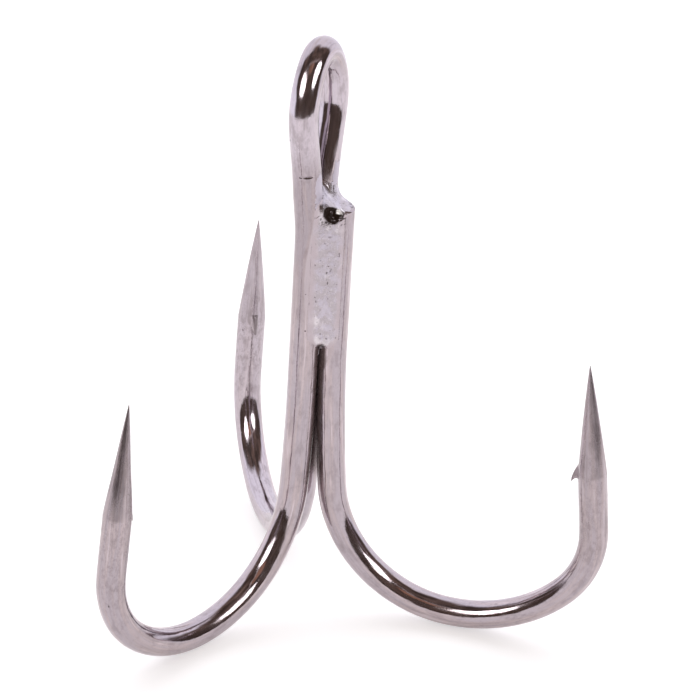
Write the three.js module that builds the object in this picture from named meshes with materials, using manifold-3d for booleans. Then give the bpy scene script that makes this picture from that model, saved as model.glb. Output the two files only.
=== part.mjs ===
// A treble fishing hook: two steel wires brazed together along their shanks.
// One wire carries two hooks and the eye between them; the other carries the third hook.
// The model stands on its three bends, +Z up, with the single hook pointing along +X.
// Lengths are in millimetres and angles in degrees.

import * as THREE from 'three';
import { mergeVertices } from 'three/addons/utils/BufferGeometryUtils.js';
import Module from 'manifold-3d';

const wasm = await Module();
wasm.setup();

// ---------------------------------------------------------------- driving dimensions

const WIRE_DIAMETER = 1.58;
const FORGED_THICKNESS = 1.5; // across the two flats pressed into the sides of the wire
const ARC_POINTS = 8; // outline points on each rounded side of the wire
const WELD_DISTANCE = 1e-4; // vertices closer than this are one vertex
const FIT_GAP = 0.02; // clearance between neighbouring pieces

const HOOK_SPACING = 120; // angle between hooks, seen from above

// Each hook leaves its straight shank through these arcs and ends in a straight point leg.
const SHANK_SWEEP = { radius: 100, sweep: 3.8, steps: 3 };
const THROAT = { radius: 7.26, sweep: 82.4, steps: 10 };
const HEEL = { radius: 6.46, sweep: 48.5, steps: 6 };
const POINT_BEND = { radius: 5.28, steps: 6 };
const POINT_LEAN = 5.2; // how far the point leans back towards the shank
const POINT_LEG = 9.85;

// The single hook opens a little wider than the other two.
const WIDE_SHANK_SWEEP = { radius: 100, sweep: 5.1, steps: 3 };
const WIDE_HEEL = { radius: 8.29, sweep: 48.5, steps: 6 };
const WIDE_POINT_LEAN = 5.8;

const GRIND_LENGTH = 6.4; // the needle taper ground on each point
const GRIND_BULGE = 0.25; // how much fuller than a straight cone it is, 0 for a cone
const GRIND_STEPS = 6;
const TIP_RADIUS = 0.03;

const BARB_ROOT = 5.4; // distances back from the tip
const BARB_NOTCH = 6.55;
const BARB_END = 7.0;
const BARB_FOOT = 0.355; // heights from the wire's centre line
const BARB_HEIGHT = 1.2;
const BARB_WIDTH = 0.4;

// The eye is a teardrop, slightly turned and leaning, on top of the two joined shanks.
const EYE_FOOT = 22.26; // height where the two shanks begin to part
const EYE_FLARE = { radius: 21.8, sweep: 13.7, steps: 5 };
const EYE_SIDE_STRAIGHT = 1.5;
const EYE_SIDE = { radius: 4.12, sweep: 55.6, steps: 7 };
const CROWN_STEPS = 5;
const EYE_TWIST = 9;
const EYE_LEAN = 1.5;
const EYE_TURN_LENGTH = 3; // height over which the twist comes in

const SINGLE_SHANK_TOP = 24.1;

const BRAZE_BOTTOM = 16.4;
const BRAZE_TOP = 24.05;
const SEAM_ROOT = 0.62; // these four are measured from the common axis
const SEAM_EDGE = 1.18; // where the alloy thins out on the wires
const SEAM_FACE = 1.08; // the middle of its hollow face
const SEAM_HALF_WIDTH = 0.46;
const SEAM_ROOT_HALF_WIDTH = 0.115;
const SEAM_FACE_STEPS = 6;
const CORE_REACH = 0.3; // from the common axis to the corners of the plug between the shanks
const CORE_RISE = 0.1; // how far the plug runs up into the cap

// Rings of the cap over the cut end, from the cut end up into the throat of the eye.
const CAP_RINGS = [
  { height: 24.12, centre: 0.76, length: 0.93, width: 0.74 },
  { height: 24.4, centre: 0.52, length: 0.86, width: 0.72 },
  { height: 24.8, centre: 0.2, length: 0.72, width: 0.62 },
  { height: 25.25, centre: 0.0, length: 0.52, width: 0.5 },
  { height: 25.6, centre: -0.12, length: 0.3, width: 0.34 },
];
const CAP_SIDES = 20;

// ---------------------------------------------------------------- derived sizes

const wireRadius = WIRE_DIAMETER / 2;
const shankOffset = (WIRE_DIAMETER + FIT_GAP) / Math.sqrt(3); // common axis to each shank

const sin = (degrees) => Math.sin(THREE.MathUtils.degToRad(degrees));
const cos = (degrees) => Math.cos(THREE.MathUtils.degToRad(degrees));

// ---------------------------------------------------------------- materials

const plating = { color: 0x8d8488, roughness: 0.22, metalness: 1.0 };
const alloy = { color: 0xb9b2c0, roughness: 0.38, metalness: 1.0 };

/** Wraps a geometry in a named mesh with its own material. */
function makePiece(name, geometry, look) {
  const mesh = new THREE.Mesh(geometry, new THREE.MeshStandardMaterial(look));
  mesh.name = name;
  return mesh;
}

// ---------------------------------------------------------------- joining and cutting

/** A closed three.js geometry as a solid that can be joined and cut. */
function toSolid(geometry) {
  const bare = geometry.clone();
  bare.deleteAttribute('normal');
  bare.deleteAttribute('uv');
  const welded = mergeVertices(bare, WELD_DISTANCE);
  return new wasm.Manifold(new wasm.Mesh({
    numProp: 3,
    vertProperties: new Float32Array(welded.attributes.position.array),
    triVerts: new Uint32Array(welded.index.array),
  }));
}

/** The solid's surface as a three.js geometry. */
function toGeometry(solid) {
  const mesh = solid.getMesh();
  const geometry = new THREE.BufferGeometry();
  geometry.setAttribute('position', new THREE.BufferAttribute(mesh.vertProperties, 3));
  geometry.setIndex(new THREE.BufferAttribute(mesh.triVerts, 1));
  return geometry;
}

// ---------------------------------------------------------------- wire

/** The wire's outline on a unit radius: two rounded sides and two pressed flats. */
function wireOutline() {
  const flatHalfAngle = 90 - THREE.MathUtils.radToDeg(Math.asin(FORGED_THICKNESS / WIRE_DIAMETER));
  const points = [];
  for (const start of [0, 180]) {
    for (let i = 0; i < ARC_POINTS; i += 1) {
      const angle = start + flatHalfAngle + (i * (180 - 2 * flatHalfAngle)) / (ARC_POINTS - 1);
      points.push({ across: sin(angle), side: cos(angle) });
    }
  }
  return points;
}

/**
 * A closed wire through a list of stations. Each station has a position, a travel
 * direction, the direction across the wire within its bend, and a radius.
 */
function makeWire(stations) {
  const outline = wireOutline();
  const steps = stations.length - 1;
  const geometry = new THREE.CylinderGeometry(1, 1, 1, outline.length, steps);
  const vertices = geometry.attributes.position;
  const vertex = new THREE.Vector3();
  for (let i = 0; i < vertices.count; i += 1) {
    vertex.fromBufferAttribute(vertices, i);
    const station = stations[Math.round((0.5 - vertex.y) * steps)];
    const onRim = Math.hypot(vertex.x, vertex.z) > 0.5;
    const turn = Math.atan2(vertex.x, vertex.z) / (2 * Math.PI) + 1;
    const rim = outline[Math.round(turn * outline.length) % outline.length];
    const radius = onRim ? station.radius : 0;
    const across = station.across.clone();
    const side = station.travel.clone().cross(across);
    const point = station.position.clone();
    point.addScaledVector(across, radius * rim.across);
    point.addScaledVector(side, radius * rim.side);
    vertices.setXYZ(i, point.x, point.y, point.z);
  }
  return geometry;
}

/** Every station of a route with its wire made thicker, to cut room for it. */
function thickened(stations, amount) {
  return stations.map((station) => ({ ...station, radius: station.radius + amount }));
}

/** The same route travelled the other way. */
function reversed(stations) {
  return stations.map((station) => ({ ...station, travel: station.travel.clone().negate() })).reverse();
}

// ---------------------------------------------------------------- hook

/** The arcs of one hook, from the shank to the point leg. */
function hookArcs(hook) {
  const swept = hook.shank.sweep + THROAT.sweep + hook.heel.sweep;
  return [hook.shank, THROAT, hook.heel, { ...POINT_BEND, sweep: 180 + hook.lean - swept }];
}

/** How far the hook's centre line drops from the foot of the straight shank. */
function hookDrop(arcs) {
  let heading = 0;
  let drop = 0;
  for (const arc of arcs) {
    const next = Math.min(heading + arc.sweep, 90);
    drop += arc.radius * (sin(next) - sin(heading));
    heading = next;
  }
  return drop;
}

/** Radius of the ground point at a distance back from the tip. */
function groundRadius(back) {
  const t = Math.min(back / GRIND_LENGTH, 1);
  return TIP_RADIUS + (wireRadius - TIP_RADIUS) * t * (1 + GRIND_BULGE * (1 - t));
}

/**
 * Stations of one hook from the top of its shank to the tip. The route lies in the
 * upright plane through the common axis that points to `azimuth`. Heading 0 travels
 * down, 90 outwards and 180 up.
 */
function hookStations(hook, shankTop, azimuth) {
  const outward = new THREE.Vector3(cos(azimuth), sin(azimuth), 0);
  const up = new THREE.Vector3(0, 0, 1);
  const arcs = hookArcs(hook);
  const stations = [];
  let out = shankOffset;
  let height = shankTop;

  const addStation = (heading, radius) => {
    const position = outward.clone().multiplyScalar(out).addScaledVector(up, height);
    const travel = outward.clone().multiplyScalar(sin(heading)).addScaledVector(up, -cos(heading));
    const across = outward.clone().multiplyScalar(cos(heading)).addScaledVector(up, sin(heading));
    stations.push({ position, travel, across, radius });
  };

  addStation(0, wireRadius);
  height = wireRadius + hookDrop(arcs);
  addStation(0, wireRadius);

  let heading = 0;
  for (const arc of arcs) {
    for (let i = 0; i < arc.steps; i += 1) {
      const next = heading + arc.sweep / arc.steps;
      out += arc.radius * (cos(heading) - cos(next));
      height -= arc.radius * (sin(next) - sin(heading));
      heading = next;
      addStation(heading, wireRadius);
    }
  }

  const legSteps = [POINT_LEG - GRIND_LENGTH];
  for (let i = 0; i < GRIND_STEPS; i += 1) {
    legSteps.push(GRIND_LENGTH / GRIND_STEPS);
  }
  let back = POINT_LEG;
  for (const step of legSteps) {
    out += step * sin(heading);
    height -= step * cos(heading);
    back -= step;
    addStation(heading, groundRadius(Math.max(back, 0)));
  }
  return stations;
}

/** The sliver raised from the inside of the point leg, its free end towards the bend. */
function makeBarb(stations) {
  const tip = stations[stations.length - 1];
  const outline = new THREE.Shape([
    new THREE.Vector2(BARB_ROOT, BARB_FOOT),
    new THREE.Vector2(BARB_END, BARB_HEIGHT),
    new THREE.Vector2(BARB_NOTCH, BARB_FOOT),
  ]);
  const barb = new THREE.ExtrudeGeometry(outline, { depth: BARB_WIDTH, bevelEnabled: false });
  barb.translate(0, 0, -BARB_WIDTH / 2);
  const back = tip.travel.clone().negate();
  const side = back.clone().cross(tip.across);
  const place = new THREE.Matrix4().makeBasis(back, tip.across, side);
  place.setPosition(tip.position);
  barb.applyMatrix4(place);
  return toSolid(barb);
}

// ---------------------------------------------------------------- eye

/** Radius of the eye's crown that brings its two sides together. */
function crownRadius() {
  const heading = EYE_FLARE.sweep - EYE_SIDE.sweep;
  const halfWidth = shankOffset * sin(HOOK_SPACING / 2)
    + EYE_FLARE.radius * (1 - cos(EYE_FLARE.sweep))
    + EYE_SIDE_STRAIGHT * sin(EYE_FLARE.sweep)
    + EYE_SIDE.radius * (cos(heading) - cos(EYE_FLARE.sweep));
  return halfWidth / cos(heading);
}

/** One side of the eye as {half width, height, heading}, heading 0 up and positive outwards. */
function eyeSide() {
  const points = [];
  let width = shankOffset * sin(HOOK_SPACING / 2);
  let height = EYE_FOOT;
  let heading = 0;
  const add = () => points.push({ width, height, heading });

  const arc = (radius, sweep, steps) => {
    const turn = Math.sign(sweep);
    for (let i = 0; i < steps; i += 1) {
      const next = heading + sweep / steps;
      width += turn * radius * (cos(heading) - cos(next));
      height += turn * radius * (sin(next) - sin(heading));
      heading = next;
      add();
    }
  };

  add();
  arc(EYE_FLARE.radius, EYE_FLARE.sweep, EYE_FLARE.steps);
  width += EYE_SIDE_STRAIGHT * sin(heading);
  height += EYE_SIDE_STRAIGHT * cos(heading);
  add();
  arc(EYE_SIDE.radius, -EYE_SIDE.sweep, EYE_SIDE.steps);
  arc(crownRadius(), -(90 + heading), CROWN_STEPS);
  return points;
}

/** Stations of the eye, up the front side, over the crown and down the rear side. */
function eyeStations() {
  const up = new THREE.Vector3(0, 0, 1);
  const centre = new THREE.Vector3(-shankOffset * cos(HOOK_SPACING / 2), 0, 0);
  const sidePoints = eyeSide();
  const place = ({ width, height, heading }, sign) => {
    const rise = height - EYE_FOOT;
    const ease = THREE.MathUtils.smoothstep(rise, 0, EYE_TURN_LENGTH);
    const rearward = new THREE.Vector3(sin(EYE_TWIST * ease), cos(EYE_TWIST * ease), 0);
    const lean = -Math.tan(THREE.MathUtils.degToRad(EYE_LEAN)) * rise * ease;
    const position = centre.clone().addScaledVector(rearward, sign * width + lean);
    position.addScaledVector(up, height);
    const outward = rearward.clone().multiplyScalar(sign);
    const travel = up.clone().multiplyScalar(-sign * cos(heading));
    travel.addScaledVector(outward, -sign * sin(heading));
    const across = outward.clone().multiplyScalar(cos(heading)).addScaledVector(up, -sin(heading));
    return { position, travel, across, radius: wireRadius };
  };
  const front = sidePoints.map((point) => place(point, -1));
  const rear = sidePoints.slice(0, -1).map((point) => place(point, 1)).reverse();
  return [...front, ...rear];
}

/** Turns each station's section gently between the planes of the hooks and the eye. */
function blendSections(stations, from, to) {
  const start = stations[from].across.clone();
  const end = stations[to].across.clone();
  for (let i = from + 1; i < to; i += 1) {
    const share = (stations[i].position.z - stations[from].position.z)
      / (stations[to].position.z - stations[from].position.z);
    const across = start.clone().lerp(end, THREE.MathUtils.clamp(share, 0, 1));
    across.addScaledVector(stations[i].travel, -across.dot(stations[i].travel));
    stations[i].across = across.normalize();
  }
}

// ---------------------------------------------------------------- the two wires

const narrowHook = { shank: SHANK_SWEEP, heel: HEEL, lean: POINT_LEAN };
const wideHook = { shank: WIDE_SHANK_SWEEP, heel: WIDE_HEEL, lean: WIDE_POINT_LEAN };

/** Route of the double-hook wire: front tip, front shank, eye, rear shank, rear tip. */
function doubleHookRoute() {
  const frontHook = hookStations(narrowHook, EYE_FOOT, -HOOK_SPACING);
  const rearHook = hookStations(narrowHook, EYE_FOOT, HOOK_SPACING);
  const eye = eyeStations().slice(1, -1);
  const route = [...reversed(frontHook), ...eye, ...rearHook];
  const frontTop = frontHook.length - 1;
  const rearTop = frontTop + eye.length + 1;
  blendSections(route, frontTop, frontTop + EYE_FLARE.steps);
  blendSections(route, rearTop - EYE_FLARE.steps, rearTop);
  return { route, barbs: [makeBarb(frontHook), makeBarb(rearHook)] };
}

/** Route of the single-hook wire, from its cut end under the eye to its tip. */
function singleHookRoute() {
  const route = hookStations(wideHook, SINGLE_SHANK_TOP, 0);
  return { route, barbs: [makeBarb(route)] };
}

/** A wire with the barbs raised from it. */
function makeBarbedWire({ route, barbs }) {
  const wire = barbs.reduce((solid, barb) => solid.add(barb), toSolid(makeWire(route)));
  return toGeometry(wire);
}

// ---------------------------------------------------------------- braze

/** Alloy that fills one groove between two shanks, before the wires are cut out of it. */
function makeSeamBlank(azimuth) {
  const face = new THREE.QuadraticBezierCurve(
    new THREE.Vector2(SEAM_EDGE, -SEAM_HALF_WIDTH),
    new THREE.Vector2(2 * SEAM_FACE - SEAM_EDGE, 0),
    new THREE.Vector2(SEAM_EDGE, SEAM_HALF_WIDTH),
  );
  const outline = [
    new THREE.Vector2(SEAM_ROOT, SEAM_ROOT_HALF_WIDTH),
    new THREE.Vector2(SEAM_ROOT, -SEAM_ROOT_HALF_WIDTH),
    ...face.getPoints(SEAM_FACE_STEPS),
  ];
  const seam = new THREE.ExtrudeGeometry(new THREE.Shape(outline), {
    depth: BRAZE_TOP - BRAZE_BOTTOM,
    bevelEnabled: false,
  });
  seam.translate(0, 0, BRAZE_BOTTOM);
  seam.rotateZ(THREE.MathUtils.degToRad(azimuth));
  return seam;
}

/** The three-cornered plug in the void between the shanks, before the wires are cut out. */
function makeCoreBlank() {
  const height = CAP_RINGS[0].height + CORE_RISE - BRAZE_BOTTOM;
  const core = new THREE.CylinderGeometry(CORE_REACH, CORE_REACH, height, 3);
  core.rotateX(Math.PI / 2);
  core.rotateZ(THREE.MathUtils.degToRad(-HOOK_SPACING / 4));
  core.translate(0, 0, BRAZE_BOTTOM + height / 2);
  return core;
}

/** The cap of alloy over the cut end, before the eye's wire is cut out of it. */
function makeCapBlank() {
  const steps = CAP_RINGS.length - 1;
  const geometry = new THREE.CylinderGeometry(1, 1, 1, CAP_SIDES, steps);
  const vertices = geometry.attributes.position;
  for (let i = 0; i < vertices.count; i += 1) {
    const ring = CAP_RINGS[Math.round((vertices.getY(i) + 0.5) * steps)];
    const x = ring.centre + ring.length * vertices.getX(i);
    const y = -ring.width * vertices.getZ(i);
    vertices.setXYZ(i, x, y, ring.height);
  }
  return geometry;
}

/** A blank of alloy with room cut in it for every wire. */
function cutByWires(blank, rooms) {
  return toGeometry(rooms.reduce((solid, room) => solid.subtract(room), blank));
}

// ---------------------------------------------------------------- assembly

const doubleHook = doubleHookRoute();
const singleHook = singleHookRoute();

const rooms = [doubleHook, singleHook].map(({ route }) => toSolid(makeWire(thickened(route, FIT_GAP))));
const capAndCore = toSolid(makeCapBlank()).add(toSolid(makeCoreBlank()));
const seam = (azimuth) => cutByWires(toSolid(makeSeamBlank(azimuth)), rooms);

const trebleHook = new THREE.Group();
trebleHook.add(
  makePiece('double_hook_wire', makeBarbedWire(doubleHook), plating),
  makePiece('single_hook_wire', makeBarbedWire(singleHook), plating),
  makePiece('braze_seam_front', seam(-HOOK_SPACING / 2), alloy),
  makePiece('braze_seam_rear', seam(HOOK_SPACING / 2), alloy),
  makePiece('braze_seam_left', seam(180), alloy),
  makePiece('braze_cap_and_core', cutByWires(capAndCore, rooms), alloy),
);

// The origin is at the middle of the footprint, on the surface that the bends stand on.
const extent = new THREE.Box3().setFromObject(trebleHook);
const middle = extent.getCenter(new THREE.Vector3());
trebleHook.position.set(-middle.x, -middle.y, -extent.min.z);

export default trebleHook;
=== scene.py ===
# A treble fishing hook in dark nickel plate: two steel wires brazed along their shanks.
# Lengths are in millimetres around the common axis of the three shanks, +Z up, with the
# single hook along +X. They become metres in the row frame when a mesh is made.
import math

import bpy
import numpy as np
from mathutils import Matrix, Vector


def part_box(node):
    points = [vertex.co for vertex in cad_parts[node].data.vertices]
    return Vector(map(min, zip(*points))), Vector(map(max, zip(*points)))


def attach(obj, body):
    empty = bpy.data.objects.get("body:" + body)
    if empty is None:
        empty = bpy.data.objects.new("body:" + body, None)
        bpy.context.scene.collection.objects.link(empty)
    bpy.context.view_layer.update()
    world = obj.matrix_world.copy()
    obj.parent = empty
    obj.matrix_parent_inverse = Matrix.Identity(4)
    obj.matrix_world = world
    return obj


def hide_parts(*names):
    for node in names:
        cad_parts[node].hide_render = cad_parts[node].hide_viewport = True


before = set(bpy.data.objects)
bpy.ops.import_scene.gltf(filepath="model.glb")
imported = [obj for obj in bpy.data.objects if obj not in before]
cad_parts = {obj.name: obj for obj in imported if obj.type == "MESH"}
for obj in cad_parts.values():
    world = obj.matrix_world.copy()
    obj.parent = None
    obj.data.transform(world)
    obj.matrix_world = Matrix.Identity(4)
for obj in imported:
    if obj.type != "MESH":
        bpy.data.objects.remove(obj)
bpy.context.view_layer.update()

# ------------------------------------------------------------------ sizes, as in the CAD

MM = 0.001
WIRE_RADIUS = 0.79
SHANK_OFFSET = 1.6 / math.sqrt(3)  # common axis to each shank
HOOK_ANGLES = {"single": 0.0, "front": -120.0, "rear": 120.0}

# Arcs are (radius, sweep in degrees).
THROAT = (7.26, 82.4)
NARROW_HOOK = {"shank": (100.0, 3.8), "heel": (6.46, 48.5), "lean": 5.2}
WIDE_HOOK = {"shank": (100.0, 5.1), "heel": (8.29, 48.5), "lean": 5.8}
POINT_BEND_RADIUS = 5.28
POINT_LEG = 9.85
GRIND_LENGTH = 6.4
GRIND_BULGE = 0.25
TIP_RADIUS = 0.02

EYE_FOOT = 22.26
EYE_FLARE = (21.8, 13.7)
EYE_SIDE_STRAIGHT = 1.5
EYE_SIDE = (4.12, 55.6)
EYE_TWIST = 9.0
EYE_LEAN = 1.5
EYE_TURN_LENGTH = 3.0
SINGLE_SHANK_TOP = 24.1

# The common axis stands this far along X in the row frame.
AXIS_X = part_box("single_hook_wire")[0].x / MM + WIRE_RADIUS - SHANK_OFFSET

FIT_X = 0.9986  # keeps the round bends inside the CAD's many-sided ones

# ------------------------------------------------------------------ small helpers


def smoothstep(value, low, high):
    """0 below low, 1 above high and a smooth S between, for numbers and arrays."""
    t = np.clip((np.asarray(value, float) - low) / (high - low), 0.0, 1.0)
    return t * t * (3 - 2 * t)


def unit(vectors):
    return vectors / np.linalg.norm(vectors, axis=-1, keepdims=True)


def band(value, rise, fall):
    """1 between two smooth edges: it rises over one pair of places and falls over the other."""
    return smoothstep(value, *rise) * (1 - smoothstep(value, *fall))


def interpolated(value, known, rows):
    """Points or directions at a value, between the rows that go with the known values."""
    return np.stack([np.interp(value, known, column) for column in rows.T], axis=-1)


def smoothed(values, passes):
    """Rows averaged with their neighbours, the two end rows kept."""
    values = values.copy()
    for _ in range(passes):
        values[1:-1] = 0.25 * values[:-2] + 0.5 * values[1:-1] + 0.25 * values[2:]
    return values


# Large odd numbers that scramble a lattice corner's place, and the seed, into a value.
CORNER_KEYS = (73856093, 19349663, 83492791)
SEED_KEY = 2654435761
SCRAMBLES = ((15, 2246822519), (13, 3266489917))
LAST_SHIFT = 16
LOW_BITS = 0xFFFFFFFF


def lattice_noise(points, seed):
    """Smooth noise from -1 to 1 at points one unit apart in any direction, the same on every run."""
    cell = np.floor(points).astype(np.int64)
    inside = points - cell
    ease = inside * inside * (3 - 2 * inside)
    total = np.zeros(points.shape[:-1])
    for corner in np.ndindex(2, 2, 2):
        x, y, z = np.moveaxis((cell + np.array(corner)) * np.array(CORNER_KEYS), -1, 0)
        mixed = (x ^ y ^ z ^ seed * SEED_KEY) & LOW_BITS
        for shift, factor in SCRAMBLES:
            mixed = (mixed ^ (mixed >> shift)) * factor & LOW_BITS
        value = (mixed ^ (mixed >> LAST_SHIFT)) / (LOW_BITS // 2) - 1.0
        weight = np.ones(total.shape)
        for axis, high in enumerate(corner):
            weight = weight * (ease[..., axis] if high else 1 - ease[..., axis])
        total += weight * value
    return total


def lumps(points, size, seed):
    """Two octaves of noise, with lumps about as wide as size."""
    fine = lattice_noise(points / size * 2.1, seed + 1)
    return (lattice_noise(points / size, seed) + 0.5 * fine) / 1.5


def flattened(points, share):
    """Points with their heights scaled, so that noise at them is stretched upwards."""
    return points * np.array([1.0, 1.0, share])


# ------------------------------------------------------------------ centre lines

RAW_STEP = 0.05
BEND_PASSES = 60  # how often the points are averaged, and then the directions across the wire
TURN_PASSES = 900
GROOVE_TURN = math.radians(60.0)  # from each shank round to the groove beside it
UP = np.array([0.0, 0.0, 1.0])


def walk(segments):
    """Walks (length, turn in degrees) segments from heading 0. Gives side, ahead and heading."""
    turns = []
    lengths = []
    for length, turn in segments:
        count = max(1, math.ceil(length / RAW_STEP))
        turns += [math.radians(turn) / count] * count
        lengths += [length / count] * count
    heading = np.concatenate([[0.0], np.cumsum(turns)])
    middle = (heading[:-1] + heading[1:]) / 2
    side = np.concatenate([[0.0], np.cumsum(np.sin(middle) * lengths)])
    ahead = np.concatenate([[0.0], np.cumsum(np.cos(middle) * lengths)])
    return side, ahead, heading


def hook_line(hook, shank_top, azimuth):
    """Points from the top of a shank to the tip, and the way across the wire, inwards in the bend."""
    bends = [hook["shank"], THROAT, hook["heel"]]
    bends.append((POINT_BEND_RADIUS, 180 + hook["lean"] - sum(sweep for _, sweep in bends)))
    curved = [(radius * math.radians(sweep), sweep) for radius, sweep in bends]
    drop = walk(curved)[1].max()
    straight = shank_top - WIRE_RADIUS - drop
    side, ahead, heading = walk([(straight, 0.0)] + curved + [(POINT_LEG, 0.0)])
    outward = np.array([math.cos(math.radians(azimuth)), math.sin(math.radians(azimuth)), 0.0])
    points = np.outer(SHANK_OFFSET + side, outward) + np.outer(shank_top - ahead, UP)
    across = np.outer(np.cos(heading), outward) + np.outer(np.sin(heading), UP)
    return points, across


def eye_line():
    """Points up the front side of the eye, over its crown and down the rear side, and outwards."""
    half_gap = SHANK_OFFSET * math.sin(GROOVE_TURN)
    lower = [
        (EYE_FLARE[0] * math.radians(EYE_FLARE[1]), EYE_FLARE[1]),
        (EYE_SIDE_STRAIGHT, 0.0),
        (EYE_SIDE[0] * math.radians(EYE_SIDE[1]), -EYE_SIDE[1]),
    ]
    heading_left = math.radians(EYE_FLARE[1] - EYE_SIDE[1])
    crown_radius = (half_gap + walk(lower)[0][-1]) / math.cos(heading_left)
    crown_turn = math.radians(90) + heading_left
    side, ahead, heading = walk(lower + [(crown_radius * crown_turn, -math.degrees(crown_turn))])
    width = half_gap + side
    ease = smoothstep(ahead, 0.0, EYE_TURN_LENGTH)
    twist = np.radians(EYE_TWIST) * ease
    rearward = np.stack([np.sin(twist), np.cos(twist), np.zeros(len(twist))], axis=1)
    lean = -math.tan(math.radians(EYE_LEAN)) * ahead * ease
    foot = np.array([-SHANK_OFFSET * math.cos(GROOVE_TURN), 0.0, EYE_FOOT])
    halves = []
    for sign in (-1, 1):
        points = foot + rearward * (sign * width + lean)[:, None] + np.outer(ahead, UP)
        across = rearward * (sign * np.cos(heading))[:, None] - np.outer(np.sin(heading), UP)
        halves.append((points, across))
    front, rear = halves
    points = np.concatenate([front[0], rear[0][-2::-1]])
    across = np.concatenate([front[1], rear[1][-2::-1]])
    return points, across


def arc_lengths(points):
    return np.concatenate([[0.0], np.cumsum(np.linalg.norm(np.diff(points, axis=0), axis=1))])


def finished_line(points, across, tips):
    """Rounds off the changes of bend and turns the section gently. Gives a dictionary of rows."""
    points = smoothed(points, BEND_PASSES)
    travel = unit(np.gradient(points, axis=0))
    across = smoothed(across, TURN_PASSES)
    across = unit(across - travel * np.sum(across * travel, axis=1, keepdims=True))
    along = arc_lengths(points)
    to_end = along[-1] - along
    back = np.minimum(along, to_end) if tips == 2 else to_end
    return {"points": points, "travel": travel, "across": across, "along": along, "back": back}


def double_hook_line():
    """Front tip, front shank, eye, rear shank, rear tip."""
    front, front_across = hook_line(NARROW_HOOK, EYE_FOOT, HOOK_ANGLES["front"])
    rear, rear_across = hook_line(NARROW_HOOK, EYE_FOOT, HOOK_ANGLES["rear"])
    eye, eye_across = eye_line()
    points = np.concatenate([front[::-1], eye[1:-1], rear])
    across = np.concatenate([front_across[::-1], eye_across[1:-1], rear_across])
    return finished_line(points, across, tips=2)


def single_hook_line():
    """From the cut end under the eye to the tip."""
    return finished_line(*hook_line(WIDE_HOOK, SINGLE_SHANK_TOP, HOOK_ANGLES["single"]), tips=1)


# ------------------------------------------------------------------ wire

SIDES = 56
SIDE_CROWDING = 0.25
RING_STEP = 0.2
FINE_STEP = 0.05
FINE_LENGTH = 8.4  # from each tip, past its barb
FINEST_STEP = 0.025
VISIBLE_RADIUS = 0.784  # a hair under the CAD's, so that the plating's waves stay inside it
WAVE_HEIGHT = 0.005
WAVE_LENGTH = 1.0
RIDGE_FADE = 3.6  # the ridges of a ground point fade out over this length
RIDGE_SHARPNESS = 0.5

# The barb seen from the side, from its front to the scar behind it: distances back from the
# tip, and heights over the wire.
BARB_PATH = (
    (5.75, 0.0),
    (5.9, 0.02),
    (6.1, 0.12),
    (6.4, 0.25),
    (6.7, 0.36),
    (7.0, 0.43),
    (6.8, 0.27),
    (6.6, 0.1),
    (6.52, 0.0),
    (6.56, -0.06),
    (6.7, -0.07),
    (6.9, -0.03),
    (7.2, 0.0),
)
BARB_FLAT_WIDTH = 0.05  # half of its flat back, and then half of its whole width
BARB_EDGE_WIDTH = 0.26
DOUBLE_BARB_SCALE = 0.78  # the barbs of the double hook are lower

# A tool mark of two short dents across the front leg of the eye.
NICK_HEIGHT = 26.65
NICK_HALF_LENGTH = 0.055
NICK_FINE_REACH = 0.2
NICK_LEG_BOTTOM = 23.0
NICK_DENTS = ((-1.0, 9.0, 0.036), (31.0, 18.0, 0.06))  # angle round the wire, half width, depth

# Darker brown on the sides of the shanks that face their common axis, below the braze:
# half its width in degrees at two heights, how ragged it is, and where it fades out.
INNER_BROWN_HEIGHTS = (9.3, 15.0)
INNER_BROWN_ANGLES = {"single": (56.0, 74.0), "double": (82.0, 84.0)}
INNER_BROWN_RAGGED = (9.0, 6.0)
INNER_BROWN_SOFT = 6.0
INNER_BROWN_END = (7.0, 8.6)
INNER_BROWN_TOP = (16.2, 17.0)
SHANK_BACK = 22.0  # the shanks are further than this from the tips

# Where the plating looks different. Each pair is where a change begins and where it is complete.
# The front shank and front leg are duller, and darker as painted shade.
DIM_LEG_RISE = (16.5, 19.5)  # heights on the front shank and the eye's front leg
DIM_LEG_FALL = (27.0, 28.6)
DIM_LEG_SIDE = 0.3  # the front leg is no further than this towards the rear
LEG_SATIN = 0.25
# Painted light: the top of the eye, and the rear side, are made paler.
PALE_EYE_RISE = (25.4, 27.6)
PALE_EYE_FALL = (30.5, 32.5)
PALE_REAR = (1.0, 3.0)  # distances from the middle towards the rear hook
PALE_REAR_SHARE = 0.6
BARB_CUT_RISE = (5.8, 6.2)  # distances back from a tip
BARB_CUT_FALL = (7.0, 7.2)
HEEL_END = (9.5, 13.5)
# Painted shade: how much darker the heel of each hook is made.
HEEL_PAINTED_SHADE = {"single": 0.75, "double": 0.3}
GROUND_SHARE = 0.8  # of the heel's satin look is ground off the point
GROUND_END = (GRIND_LENGTH - 0.3, GRIND_LENGTH + 0.1)
FILM_FACING = (0.55, 0.95)  # how squarely the wire faces the cut end that the alloy film came from
FILM_FALL = (25.4, 27.6)

# The sheared end of the single hook: a ragged hollow in its front edge.
HOLLOW_CENTRE = (0.92, -1.2, 24.2)
HOLLOW_RADII = (0.6, 0.66, 0.64)
HOLLOW_RAGGED = 0.102
HOLLOW_STEP = 0.02  # of the way to the wire's centre line
SHEAR_REACH = 1.6  # from the cut end, past the hollow

# A painted glint in it: a near-white splinter of colour standing in for a highlight, from its wide end
# to its thin end.
GLINT_ENDS = ((0.99, -0.56, 24.13), (1.72, -0.35, 24.2))
GLINT_WIDTHS = (0.16, 0.03)
GLINT_EDGE = (0.75, 1.05)
GLINT_FLATNESS = 0.6


def section_angles():
    """Angles around the wire from its inner side, closer together there and on the outer side."""
    even = np.arange(SIDES) * 2 * np.pi / SIDES
    return even - SIDE_CROWDING * np.sin(2 * even)


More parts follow.
